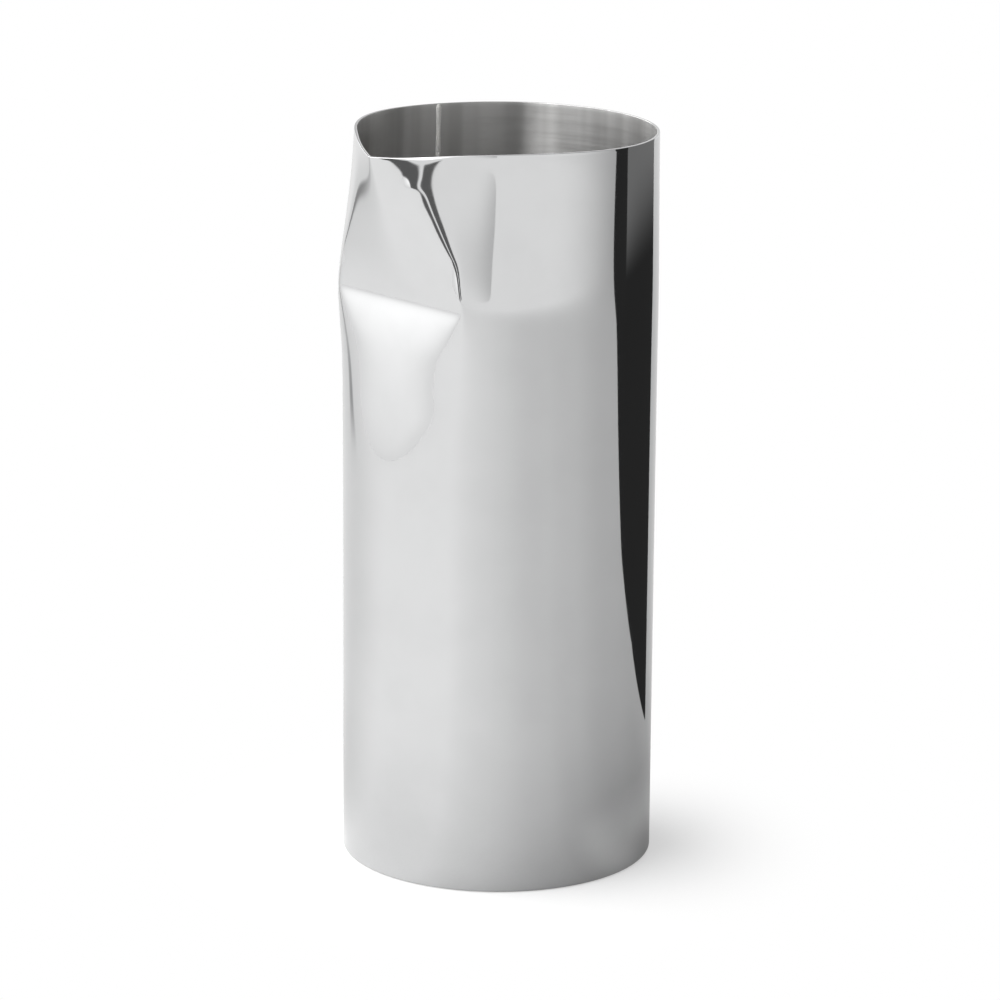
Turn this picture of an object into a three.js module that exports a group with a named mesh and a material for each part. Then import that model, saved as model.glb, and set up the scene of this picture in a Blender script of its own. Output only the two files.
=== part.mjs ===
// A one-litre stainless steel carafe, in millimetres, +Z up, spout towards -Y.
// The body is a rolled sheet closed by one butt weld. Its pouring lip is not a separate spout:
// the wall is pressed in along a level crease, and the panel above the crease leans out to a
// pointed lip between two folded ridges. A flat disc welded into the lower end is the base.
// The origin is the centre of the underside, on the axis of the tube.
import * as THREE from "three";

// The tube, as rolled.
const TUBE_DIAMETER = 88.9;
const WALL = 0.8;
const HEIGHT = 209.3;
const FOOT_EDGE_BREAK = 0.4;

// The crease and the hollow pressed into the wall under it.
const CREASE_HEIGHT = 167.4;
const CREASE_DEPTH = 6.2;
const CREASE_SOFTNESS = 0.4;
const DENT_LENGTH = 45;
const DENT_ROUNDNESS = 0.55;
const DENT_ROUND_RUN = 32;
const DENT_FOOT_SOFTNESS = 0.25;
const BROW_DEPTH = 0.8;
const BROW_LENGTH = 8;

// The leaning panel and the point of the lip. Folds are slopes, side run over forward run.
const LIP_REACH = 5.1;
const LIP_FOLD = 0.6;
const LIP_FOLD_RADIUS = 1.6;
const LIP_FOLD_POWER = 3;
const PANEL_CROWN = 0.15;
const PANEL_CROWN_RADIUS = 9;
const PANEL_CROWN_RATE = 3;

// The front is worked out where the cosine of the bearing is over this.
const FRONT_COSINE = 0.25;

// The flanks beside the lip: flat from this bearing forward, drawn in over a run below the rim,
// and swollen a little at the height of the crease.
const FLANK_BEARING = THREE.MathUtils.degToRad(38.8);
const FLANK_SOFTNESS = THREE.MathUtils.degToRad(3);
const FLANK_BLEND = 20;
const FLANK_LEAD = 0.8;
const PINCH = 3.2;
const PINCH_RUN = 47.3;
const PINCH_LENGTH = 51;
const PINCH_FADE = 0.75;
const SWELL = 1.55;
const SWELL_SPREAD = 12.4;
const SWELL_BEARING = THREE.MathUtils.degToRad(70);

// The folds between the panel and the flanks: sharpest a little above the crease.
const RIDGE_RISE = 7.1;
const RIDGE_SOFTNESS = 0.12;
const RIDGE_OPENING = 0.62;

// The sheet doesn't stretch, so the rim dips at the lip and the back and rises at the flanks.
const LIP_DIP = 1.9;
const LIP_DIP_BEARING = THREE.MathUtils.degToRad(22);
const FLANK_RISE = 0.75;
const FLANK_RISE_BEARING = THREE.MathUtils.degToRad(62);
const FLANK_RISE_SPREAD = THREE.MathUtils.degToRad(38);
const BACK_DIP = 0.4;

// The butt weld down the inside, on a bearing measured from the spout.
const SEAM_BEARING = THREE.MathUtils.degToRad(-107.9);
const SEAM_WIDTH = 1.6;
const SEAM_CROWN = 0.35;
const SEAM_CROWN_RUN = 4;
const SEAM_CROWN_POINTS = 4;

// The base disc and the ring of weld in the bevel under its edge.
const BASE_THICKNESS = 1.5;
const BASE_BEVEL = 1;

// Clearance between neighbouring solids, which the real welds fill.
const FIT_GAP = 0.1;

// Facets: bearings are fine across the spout and coarse round the back.
const FINE_STEP = 2.5;
const COARSE_STEP = 5;
const FINE_REACH = 50;
const DENT_ROWS = 11;
const DENT_ROWS_REACH = 1.5;
const DENT_CROWDING = 1.4;
const PANEL_ROWS = 11;
const PANEL_CROWDING = 1.25;
const SHAFT_ROWS = 3;

const TUBE_RADIUS = TUBE_DIAMETER / 2;
const BORE_RADIUS = TUBE_RADIUS - WALL;
const CREASE_REACH = TUBE_RADIUS - CREASE_DEPTH;
const PANEL_HEIGHT = HEIGHT - CREASE_HEIGHT;
const RIDGE_HEIGHT = CREASE_HEIGHT + RIDGE_RISE;
const FULL_TURN = 2 * Math.PI;

const { clamp, degToRad } = THREE.MathUtils;

const steel = (color, roughness) =>
  new THREE.MeshStandardMaterial({ color, roughness, metalness: 1 });

// Smooth 0 to 1 step, level at both ends.
function ease(share) {
  const t = clamp(share, 0, 1);
  return t * t * (3 - 2 * t);
}

// The smaller or larger of two values, with the corner between them rounded off.
function softMin(a, b, softness) {
  return (a + b - Math.hypot(a - b, 2 * softness)) / 2;
}

function softMax(a, b, softness) {
  return (a + b + Math.hypot(a - b, 2 * softness)) / 2;
}

// Share of the way up from the crease to the rim, below zero under the crease.
function lift(z) {
  return (z - CREASE_HEIGHT) / PANEL_HEIGHT;
}

// Radius of the tube and its flanks, as if nothing were pressed in.
function sideRadius(bearing, z) {
  const b = Math.abs(bearing);
  const swellFade = 1 + (b / SWELL_BEARING) ** 4;
  const swell = SWELL / Math.cosh((z - CREASE_HEIGHT + CREASE_DEPTH / 3) / SWELL_SPREAD) / swellFade;
  const pinchShare = ease((z - HEIGHT + PINCH_RUN) / PINCH_LENGTH);
  const pastFlank = PINCH_FADE * Math.max(0, b - FLANK_BEARING);
  const pinchLobe = Math.cos(Math.min(pastFlank, Math.PI / 2)) ** 2;
  const flatShare = ease((z - CREASE_HEIGHT) / FLANK_BLEND + FLANK_LEAD);
  const forward = flatShare * softMax(0, FLANK_BEARING - b, FLANK_SOFTNESS);
  return (TUBE_RADIUS + swell - PINCH * pinchShare * pinchLobe) / Math.cos(forward);
}

// How far the middle of the pressed front stands from the axis: the dent runs in to the crease,
// steeper at the brow just under it, then the panel leans out to the point of the lip.
function frontReach(z) {
  const panel = CREASE_REACH + (CREASE_DEPTH + LIP_REACH) * lift(z);
  const below = CREASE_HEIGHT - z;
  const brow = BROW_DEPTH * (1 - Math.exp(-below / BROW_LENGTH));
  const dent = CREASE_REACH + (CREASE_DEPTH - BROW_DEPTH) * (below / DENT_LENGTH) + brow;
  return softMax(panel, dent, CREASE_SOFTNESS);
}

// Radius of the pressed front: a straight chord at the crease that folds to a V at the rim.
// Across the front it is a hyperbola, whose two arms are the sides of the V.
function frontRadius(bearing, z, reach) {
  const forward = Math.cos(bearing);
  const t = clamp(lift(z), 0, 1);
  const crown = PANEL_CROWN * ease(PANEL_CROWN_RATE * t);
  const fold = crown + (LIP_FOLD - PANEL_CROWN) * t ** LIP_FOLD_POWER;
  const foldRadius = LIP_FOLD_RADIUS + PANEL_CROWN_RADIUS * (1 - t);
  const apex = reach + fold * foldRadius;
  const square = apex ** 2 - (fold * foldRadius) ** 2;
  const arms = forward ** 2 - (fold * Math.sin(bearing)) ** 2;
  const spread = Math.sqrt(Math.max(0, (apex * forward) ** 2 - arms * square));
  return square / (apex * forward + spread);
}

// The folds open out from their sharpest point up to the rim,
// and leave the shaft truly round two dent lengths further down.
function ridgeSoftness(z) {
  const above = (z - RIDGE_HEIGHT) / (HEIGHT - RIDGE_HEIGHT);
  const below = (RIDGE_HEIGHT - z) / DENT_LENGTH;
  return RIDGE_SOFTNESS * ease(2 - below) + RIDGE_OPENING * Math.max(above, 0);
}

// The smaller of the side and the pressed front, with the fold between them rounded. In the dent
// the rounding is a share of the depth, and the front moves out by the square of that share,
// which keeps the depth in the middle.
function outerRadius(bearing, z) {
  const side = sideRadius(bearing, z);
  if (Math.cos(bearing) <= FRONT_COSINE) return side;
  const reach = frontReach(z);
  const depth = softMax(0, sideRadius(0, z) - reach, DENT_FOOT_SOFTNESS);
  const roundness = DENT_ROUNDNESS * ease((CREASE_HEIGHT - z) / DENT_ROUND_RUN);
  const front = frontRadius(bearing, z, reach + roundness ** 2 * depth);
  return softMin(side, front, ridgeSoftness(z) + roundness * depth);
}

// Height gained by the rim on a bearing.
function rimRise(bearing) {
  const b = Math.abs(bearing);
  const lip = LIP_DIP * Math.exp(-((b / LIP_DIP_BEARING) ** 2));
  const flank = FLANK_RISE * Math.exp(-(((b - FLANK_RISE_BEARING) / FLANK_RISE_SPREAD) ** 2));
  const back = BACK_DIP * ease((b - FLANK_RISE_BEARING - FLANK_RISE_SPREAD) / (Math.PI / 2));
  return flank - lip - back;
}

// Bearings are taken to the half turn either side of the spout.
function wrap(bearing) {
  return Math.atan2(Math.sin(bearing), Math.cos(bearing));
}

function outerPoint(bearing, z) {
  const b = wrap(bearing);
  const radius = outerRadius(b, z);
  const rise = rimRise(b) * clamp(lift(z), 0, 1) ** 2;
  return new THREE.Vector3(radius * Math.sin(b), -radius * Math.cos(b), z + rise);
}

// A point of the sheet at a depth under its outer face, square to that face.
function sheetPoint(bearing, z, depth) {
  const turn = 1e-4;
  const step = 1e-3;
  const along = outerPoint(bearing + turn, z).sub(outerPoint(bearing - turn, z));
  const up = outerPoint(bearing, z + step).sub(outerPoint(bearing, z - step));
  const outward = along.cross(up).normalize();
  return outerPoint(bearing, z).addScaledVector(outward, -depth);
}

// The outer face at the foot is broken by a small chamfer.
function footCut(z) {
  return Math.max(0, FOOT_EDGE_BREAK - z);
}

// Heights of the rows of facets: sparse on the plain shaft, close together at the crease.
function wallHeights() {
  const dentFoot = CREASE_HEIGHT - DENT_ROWS_REACH * DENT_LENGTH;
  const heights = [0];
  for (let i = 0; i < SHAFT_ROWS; i++)
    heights.push(FOOT_EDGE_BREAK + ((dentFoot - FOOT_EDGE_BREAK) * i) / SHAFT_ROWS);
  for (let i = DENT_ROWS; i > 0; i--)
    heights.push(CREASE_HEIGHT - (CREASE_HEIGHT - dentFoot) * (i / DENT_ROWS) ** DENT_CROWDING);
  for (let i = 0; i <= PANEL_ROWS; i++)
    heights.push(CREASE_HEIGHT + PANEL_HEIGHT * (i / PANEL_ROWS) ** PANEL_CROWDING);
  return heights;
}

// Half the bearing that the weld takes up, with or without its clearance.
function seamHalfBearing(gap) {
  return (SEAM_WIDTH / 2 + gap) / TUBE_RADIUS;
}

// Bearings of the columns of facets, from one edge of the rolled sheet round to the other.
function sheetBearings() {
  const half = seamHalfBearing(FIT_GAP);
  const first = SEAM_BEARING + half;
  const last = SEAM_BEARING + FULL_TURN - half;
  const closest = degToRad(FINE_STEP) / 2;
  const bearings = [first];
  for (let degrees = -360; degrees <= 360; degrees += FINE_STEP) {
    const bearing = degToRad(degrees);
    const nearSpout = Math.abs(wrap(bearing)) <= degToRad(FINE_REACH);
    const onCoarse = degrees % COARSE_STEP === 0;
    const inside = bearing > first + closest && bearing < last - closest;
    if (inside && (nearSpout || onCoarse)) bearings.push(bearing);
  }
  bearings.push(last);
  return bearings;
}

// A closed solid from a stack of closed outlines with the same number of points each.
function loft(outlines) {
  const count = outlines[0].length;
  const positions = outlines.flat().flatMap((point) => point.toArray());
  const indices = [];
  for (let row = 0; row + 1 < outlines.length; row++)
    for (let i = 0; i < count; i++) {
      const a = row * count + i;
      const b = row * count + ((i + 1) % count);
      indices.push(a, b, b + count, a, b + count, a + count);
    }
  return { count, positions, indices, rows: outlines.length };
}

function toGeometry({ positions, indices }) {
  const geometry = new THREE.BufferGeometry();
  geometry.setAttribute("position", new THREE.Float32BufferAttribute(positions, 3));
  geometry.setIndex(indices);
  geometry.computeVertexNormals();
  return geometry;
}

// The rolled and pressed sheet. Each outline runs round the outer face and back along the inner
// face, so the two ends of the loft are closed by strips between the faces.
function bodyWall() {
  const bearings = sheetBearings();
  const outlines = wallHeights().map((z) => {
    const outer = bearings.map((bearing) => sheetPoint(bearing, z, footCut(z)));
    const inner = bearings.map((bearing) => sheetPoint(bearing, z, WALL));
    return [...outer, ...inner.reverse()];
  });
  const solid = loft(outlines);
  const top = (solid.rows - 1) * solid.count;
  const far = solid.count - 1;
  for (let i = 0; i + 1 < bearings.length; i++) {
    solid.indices.push(i, far - i, i + 1, i + 1, far - i, far - i - 1);
    const rim = [i, i + 1, far - i, i + 1, far - i - 1, far - i];
    solid.indices.push(...rim.map((corner) => top + corner));
  }
  return toGeometry(solid);
}

// The weld fills the butt joint through the wall, flush outside, and stands in a low crown inside.
// It is dressed flush where the base disc sits.
function seamWeld() {
  const half = seamHalfBearing(0);
  const outlines = wallHeights().map((z) => {
    const crown = SEAM_CROWN * ease((z - BASE_THICKNESS - FIT_GAP) / SEAM_CROWN_RUN);
    const outline = [];
    outline.push(sheetPoint(SEAM_BEARING - half, z, footCut(z)));
    outline.push(sheetPoint(SEAM_BEARING + half, z, footCut(z)));
    for (let i = 0; i <= SEAM_CROWN_POINTS; i++) {
      const turn = (Math.PI * i) / SEAM_CROWN_POINTS;
      const bearing = SEAM_BEARING + half * Math.cos(turn);
      outline.push(sheetPoint(bearing, z, WALL + crown * Math.sin(turn)));
    }
    return outline;
  });
  const solid = loft(outlines);
  const top = (solid.rows - 1) * solid.count;
  for (let i = 1; i + 1 < solid.count; i++) {
    solid.indices.push(0, i + 1, i);
    solid.indices.push(top, top + i, top + i + 1);
  }
  return toGeometry(solid);
}

// A solid of revolution about +Z whose facets line up with the coarse columns of the wall.
function revolve(profile) {
  const points = profile.map(([radius, z]) => new THREE.Vector2(radius, z));
  const geometry = new THREE.LatheGeometry(points, 360 / COARSE_STEP);
  return geometry.rotateX(Math.PI / 2);
}

const DISC_RADIUS = BORE_RADIUS - FIT_GAP;

// The base disc lies flush with the foot of the wall, bevelled under its edge for the weld.
function baseDisc() {
  return revolve([
    [0, 0],
    [DISC_RADIUS - BASE_BEVEL, 0],
    [DISC_RADIUS, BASE_BEVEL],
    [DISC_RADIUS, BASE_THICKNESS],
    [0, BASE_THICKNESS],
  ]);
}

// The ring of weld fills the bevel, ground flush underneath.
function baseWeld() {
  const leg = BASE_BEVEL - FIT_GAP * Math.SQRT2;
  return revolve([
    [DISC_RADIUS - leg, 0],
    [DISC_RADIUS, 0],
    [DISC_RADIUS, leg],
    [DISC_RADIUS - leg, 0],
  ]);
}

const carafe = new THREE.Group();

function addPiece(name, geometry, material) {
  const mesh = new THREE.Mesh(geometry, material);
  mesh.name = name;
  carafe.add(mesh);
}

addPiece("body_wall", bodyWall(), steel(0xc9cacb, 0.08));
addPiece("seam_weld", seamWeld(), steel(0xbfc0c1, 0.35));
addPiece("base_disc", baseDisc(), steel(0xb4b5b6, 0.3));
addPiece("base_weld", baseWeld(), steel(0xb9babb, 0.35));

export default carafe;
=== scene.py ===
"""A one-litre steel carafe with a pouring lip pressed from its own wall, as a Blender add-on.

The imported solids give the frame. Every piece is a fine surface worked out on a grid with numpy,
in metres, spout towards -Y, with the centre of the underside at the origin.
"""

import math

import bpy
import numpy as np
from mathutils import Matrix, Vector


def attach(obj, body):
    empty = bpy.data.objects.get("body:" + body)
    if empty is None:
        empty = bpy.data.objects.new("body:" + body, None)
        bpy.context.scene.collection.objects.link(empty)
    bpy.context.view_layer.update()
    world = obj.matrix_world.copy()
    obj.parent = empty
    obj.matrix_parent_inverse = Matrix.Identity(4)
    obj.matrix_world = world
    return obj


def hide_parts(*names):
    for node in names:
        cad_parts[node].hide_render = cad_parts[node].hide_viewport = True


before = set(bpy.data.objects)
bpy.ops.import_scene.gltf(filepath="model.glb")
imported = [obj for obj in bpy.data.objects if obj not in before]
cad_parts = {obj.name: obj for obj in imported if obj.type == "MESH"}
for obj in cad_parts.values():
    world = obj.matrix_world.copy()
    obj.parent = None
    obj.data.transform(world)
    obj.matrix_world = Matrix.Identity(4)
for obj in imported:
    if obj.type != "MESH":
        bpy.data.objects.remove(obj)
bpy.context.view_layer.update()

bl_info = {
    "name": "Pressed-lip carafe",
    "version": (1, 0, 0),
    "blender": (4, 5, 0),
    "location": "View3D > Sidebar > Carafe",
    "description": "Builds a polished steel carafe with a pressed pouring lip, and a plain studio",
    "category": "Object",
}

MM = 0.001

# Grid of the wall: columns are close across the spout, rows are close at the crease.
SPOUT_HALF_WIDTH = math.radians(45)
SPOUT_COLUMNS = 224
BACK_COLUMNS = 100
OUTER_PANEL_ROWS = 92
OUTER_DENT_ROWS = 66
INNER_PANEL_ROWS = 54
INNER_DENT_ROWS = 34
SHAFT_ROWS = 4
EDGE_ROWS = 5
CREASE_CROWDING = 1.45
DENT_ROWS_REACH = 1.9

# Steps of the finite differences that give the wall's normals.
BEARING_STEP = 1e-4
HEIGHT_STEP = 1e-6

# Grid of the weld beads and the base.
BEAD_ROWS = 1400
BEAD_POINTS = 14
DISC_COLUMNS = 192
DISC_FACE_ROWS = 14
RING_COLUMNS = 720
RING_POINTS = 12

# Rates, limits and powers in the formulas of the pressed wall.
SWELL_DROP = 1.0 / 3.0
LOBE_RATE = 0.75
FLANK_LEAD = 0.8
FRONT_LIMIT = 0.25
CROWN_RATE = 3.0
LIP_FOLD_POWER = 3
RIDGE_FADE = 2.0
RIDGE_OPENING_RATE = 2.0
RIM_SHARE_LIMIT = 1.2

# Unevenness of the weld beads, with the runs and phases of the sines that they wander by.
RIPPLE_LAG = 0.45
BEAD_WANDER = ((4.1 * MM, 0.0), (1.73 * MM, 1.0), (9.7 * MM, 0.0))
WANDER_WIDTH = 0.07
WANDER_CROWN = 0.1
RIPPLE_WIDTH = 0.1
BEAD_END = 0.25
BEAD_SINK = 0.5
RING_REACH = 1.1
RING_CROWN = 0.1
RING_DRESSED = 0.35
RING_RIPPLE = 0.3

# Tones of the dull parts of each finish, and the least and greatest share of its roughness.
HAZE_TONE = 0.97
BRUSHED_DULL_TONE = 0.72
TURNED_DULL_TONE = 0.84
PAPER_GRAIN_TONE = 0.985
POLISH_SPREAD = (0.7, 1.3)
BRUSHED_SPREAD = (0.92, 1.12)
WELD_SPREAD = (0.75, 1.3)
TURNED_SPREAD = (0.85, 1.4)
SCRATCH_TURN = 0.6

# Floor, and its tones in the polish, which are painted shade and painted light on the paper: two places
# on a scale, and the tones there.
FLOOR_REACH = 4.0
FLOOR_LEVEL = -0.0002
RIGHT_TONE = (-1.05, -0.8, 0.84, 1.0)
SIDE_TONE = (-0.9, 0.4, 0.54, 0.83)
AWAY_TONE = (-0.1, 0.7, 1.0, 0.8)
FRONT_TONE = (-1.0, -0.8, 0.88, 1.0)
FOOT_TONE = (0.05, 0.2, 0.87, 1.0)
# Painted light that lifts the shadowed paper beside the foot, as the polish sees it.
BESIDE_FOOT_TONE = (-1.0, -0.6, 0.75, 0.0)
CLOSE_BY = (0.045, 0.11, 1.0, 0.0)
SWEEP = (0.046, 0.1, 0.45, 1.0)
FAR_OFF = (0.5, 1.9)

# Tones of the far studio and the world, in the same way.
FAR_DIM = (-0.25, 0.85, 0.4, 1.0)
FAR_LEFT = (-0.4, 0.0)
ROOM_RISE = (0.1, 0.3, 1.0, 0.3)
SOFT_BOX_LEFT = (0.25, 0.45)
SOFT_BOX_RISE = (0.1, 0.3, 0.0, 3.4)
BACK_RIGHT = (0.7, 0.7, 0.0)
BACKDROP_SIDE = (0.3, 0.8)
BACKDROP_RISE = (0.15, 0.3, 0.0, 0.4)

# Studio cards. Places are metres right and away from the axis, and turns are degrees from the
# camera round to its right. Greys are two places along an axis, and the strengths there.
CARD_CORNERS = 64
CARD_ROUNDING = 0.02
UPRIGHT = (0.0, 0.0, 1.0)
SLANT = (0.15, 0.0, 1.0)
DARK_NAMES = ("dark_card", "dark_turn", "dark_wall", "dark_wing")
DARK_PLACES = ((0.113, 0.0915), (0.23, 0.08), (0.36, 0.046), (0.75, 0.015), (1.7, -0.08))
DARK_TOP = 0.26
LIT_TOP_GREYS = (0.17, 0.205, 0.025, 0.2)
EVEN_DARK_GREYS = (0.0, 0.3, 0.025, 0.03)
WHITE_PLACES = ((-0.95, 0.7), (-0.75, -0.75))
WHITE_TOP = 1.1
WHITE_GREYS = (0.0, 0.2, 1.02, 1.6)
SCREEN_DISTANCE = 1.2
SCREEN_TURNS = (-19.0, -4.4)
SCREEN_HEIGHTS = (0.12, 0.275)
SCREEN_LEAN = (1.0, 0.0, 1.2)
SCREEN_GREYS = (-0.14, 0.2, 1.0, 0.65)
SCREEN_ROUNDING = 0.5

# Dark flags by their names, turns and heights, and the soft strip on the floor.
FLAGS = (("left_flag", (-45.4, -29.1), (0.078, 0.245)), ("near_flag", (-28.1, -21.2), (0.122, 0.245)))
FLAG_DISTANCE = 0.65
FLAG_GREY = 0.14
FLAG_SOFT_START = 0.65
MAT_LEVEL = 0.001
MAT_TURN = math.radians(49.5)
MAT_DISTANCE = 0.8
MAT_HALF_WIDTH = 0.08
MAT_HALF_LENGTH = 0.38
MAT_GREY = 0.36
MAT_SOFT_START = 0.2

# Lamps: width, place and target, in metres right, away and up.
KEY_LAMP = (1.4, (-0.55, -0.2, 1.5), (0.0, 0.0, 0.05))
FILL_LAMP = (1.2, (0.1, 0.3, 1.7), (0.0, 0.0, 0.0))


def length(name, description, millimetres):
    """A length in metres, from its value in millimetres."""
    metres = millimetres * MM
    return bpy.props.FloatProperty(
        name=name, description=description, default=metres, unit="LENGTH", precision=5
    )


def angle(name, description, degrees):
    """An angle in radians, from its value in degrees."""
    radians = math.radians(degrees)
    return bpy.props.FloatProperty(
        name=name, description=description, default=radians, subtype="ANGLE", unit="ROTATION"
    )


def share(name, description, value):
    """A plain number without a unit."""
    return bpy.props.FloatProperty(name=name, description=description, default=value, precision=3)


def colour(name, description, red, green, blue):
    """A linear colour."""
    parts = (red, green, blue)
    return bpy.props.FloatVectorProperty(
        name=name, description=description, default=parts, subtype="COLOR", size=3, min=0.0, max=1.0
    )


class CarafeBody(bpy.types.PropertyGroup):
    """Sizes of the rolled tube."""

    diameter: length("Diameter", "Outside diameter of the tube", 88.9)
    wall: length("Wall", "Thickness of the sheet", 0.8)
    height: length("Height", "Height of the rim before it was pressed", 209.3)
    foot_round: length("Foot round", "Radius of the outer edge at the foot", 0.4)
    rim_round: length("Rim round", "Radius of both edges of the rim", 0.16)


class CarafeSpout(bpy.types.PropertyGroup):
    """Sizes of the crease, the dent under it, the leaning panel and the folds beside it."""

    crease_height: length("Crease height", "Height of the level crease", 167.4)
    crease_depth: length("Crease depth", "How far the crease is pressed in", 6.2)
    crease_softness: length("Crease softness", "Rounding of the crease", 0.4)
    dent_length: length("Dent length", "Length of the hollow under the crease", 45)
    brow_depth: length("Brow depth", "Extra hollow just under the crease", 0.8)
    brow_length: length("Brow length", "Run over which the brow fades", 8)
    lip_reach: length("Lip reach", "How far the lip stands out past the tube", 5.1)
    lip_fold: share("Lip fold", "Side run over forward run of the V at the rim", 0.6)
    lip_fold_radius: length("Lip fold radius", "Radius of the point of the lip", 0.7)
    panel_crown: share("Panel crown", "Side run over forward run across the panel", 0.15)
    panel_crown_radius: length("Panel crown radius", "Rounding of the panel's crown", 9.3)
    panel_crown_power: share("Panel crown power", "How early the crown tightens towards the lip", 0.9)
    flank_bearing: angle("Flank bearing", "Bearing where the flat flanks begin", 38.8)
    flank_softness: angle("Flank softness", "Rounding of the start of the flanks", 3)
    flank_blend: length("Flank blend", "Height over which the flanks turn flat", 20)
    pinch: length("Pinch", "How far the flanks are drawn in at the rim", 3.2)
    pinch_start: length("Pinch start", "Height where the flanks start to draw in", 162)
    pinch_length: length("Pinch length", "Height over which the flanks draw in", 51)
    swell: length("Swell", "Bulge of the wall beside the crease", 1.55)
    swell_spread: length("Swell spread", "Height over which the bulge fades", 12.4)
    swell_bearing: angle("Swell bearing", "Bearing where the bulge has halved", 70)
    ridge_height: length("Ridge height", "Height where the folds are sharpest", 174.5)
    ridge_softness: length("Ridge softness", "Rounding of the folds where they are sharpest", 0.2)
    ridge_opening: length("Ridge opening", "Added rounding of the folds in their upper half", 0.34)
    dent_roundness: share("Dent roundness", "Rounding of the dent's edge as a share of its depth", 0.55)
    dent_round_run: length("Dent round run", "Run below the crease over which the edge turns soft", 32)
    dent_foot_softness: length("Dent foot softness", "Rounding of the foot of the dent", 0.25)
    knuckle_rise: length("Knuckle rise", "Height of the small bump on the fold beside the lip", 0.24)
    knuckle_spread: length("Knuckle spread", "Distance over which the bump fades", 2.6)
    knuckle_bearing: angle("Knuckle bearing", "Bearing of the bump from the spout", 13.4)
    knuckle_height: length("Knuckle height", "Height of the bump", 200.6)
    lip_dip: length("Lip dip", "How far the rim dips at the lip", 1.4)
    lip_dip_bearing: angle("Lip dip bearing", "Bearing over which the lip's dip fades", 22)
    flank_rise: length("Flank rise", "How far the rim rises at the flanks", 1.1)
    flank_rise_bearing: angle("Flank rise bearing", "Bearing of the highest rim", 62)
    flank_rise_spread: angle("Flank rise spread", "Bearing over which the rise fades", 38)
    rim_lift: length("Rim lift", "How far the pressed rim stands over the tube as rolled", 0.3)


class CarafeWelds(bpy.types.PropertyGroup):
    """Sizes of the seam inside the wall and of the base with its ring of weld."""

    seam_bearing: angle("Seam bearing", "Bearing of the seam from the spout", -107.9)
    seam_width: length("Seam width", "Width of the bead inside", 1.5)
    seam_crown: length("Seam crown", "How far the bead stands in from the wall", 0.34)
    ripple_pitch: length("Ripple pitch", "Distance between two ripples of a bead", 0.95)
    ripple_share: share("Ripple share", "Depth of the ripples as a share of the crown", 0.5)
    base_thickness: length("Base thickness", "Thickness of the base disc", 1.5)
    base_bevel: length("Base bevel", "Bevel under the disc's edge that the weld fills", 1.0)
    fit_gap: length("Fit gap", "Clearance round the disc", 0.1)


class CarafeFinish(bpy.types.PropertyGroup):
    """Colours and roughness of the steel."""

    polished: colour("Polished steel", "Mirror polish outside", 0.66, 0.663, 0.666)
    polished_roughness: share("Polish roughness", "Roughness of the mirror polish", 0.045)
    satin: colour("Satin steel", "Brushed finish inside and underneath", 0.72, 0.716, 0.708)
    satin_roughness: share("Satin roughness", "Roughness of the brushed finish", 0.34)
    weld: colour("Weld steel", "Bead of the weld", 0.92, 0.915, 0.9)
    weld_roughness: share("Weld roughness", "Roughness of the weld", 0.85)
    tint: colour("Heat tint", "Straw tint beside a weld", 0.56, 0.5, 0.4)


class CarafeStudio(bpy.types.PropertyGroup):
    """The camera, the floor and the lamps."""

    azimuth: angle("Azimuth", "Bearing of the camera from the spout", 46.6)
    distance: length("Distance", "Level distance from the axis to the camera", 1294.22)
    camera_height: length("Camera height", "Height of the camera over the floor", 455.96)
    tilt: angle("Tilt", "How far the camera looks down", 15.277)
    yaw: angle("Yaw", "How far the camera looks to its left", -0.0126)
    roll: angle("Roll", "How far the camera is turned about its own axis", 0.4716)
    lens: share("Lens", "Focal length in millimetres", 169.29)
    sensor: share("Sensor", "Width of the sensor in millimetres", 36.0)
    floor: colour("Floor", "Pale paper of the floor", 0.92, 0.92, 0.92)
    key_power: share("Key power", "Power of the large lamp on the left in watts", 3.5)
    fill_power: share("Fill power", "Power of the lamp overhead in watts", 3.0)


class Carafe(bpy.types.PropertyGroup):
    """Everything that a user may change."""

    body: bpy.props.PointerProperty(type=CarafeBody)
    spout: bpy.props.PointerProperty(type=CarafeSpout)
    welds: bpy.props.PointerProperty(type=CarafeWelds)
    finish: bpy.props.PointerProperty(type=CarafeFinish)
    studio: bpy.props.PointerProperty(type=CarafeStudio)


def ease(part):
    """Smooth step from 0 to 1: three times the square less twice the cube, level at both ends."""
    t = np.clip(part, 0.0, 1.0)
    return t * t * (3.0 - 2.0 * t)


def soft_min(a, b, softness):
    """The smaller of two values, with a hyperbola for the corner between them."""
    return (a + b - np.hypot(a - b, 2.0 * softness)) / 2.0


def soft_max(a, b, softness):
    """The larger of two values, with a hyperbola for the corner between them."""
    return (a + b + np.hypot(a - b, 2.0 * softness)) / 2.0


def panel_share(carafe, height):
    """Share of the way from the crease up to the rim, below zero under the crease."""
    rise = carafe.body.height - carafe.spout.crease_height
    return (height - carafe.spout.crease_height) / rise


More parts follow.
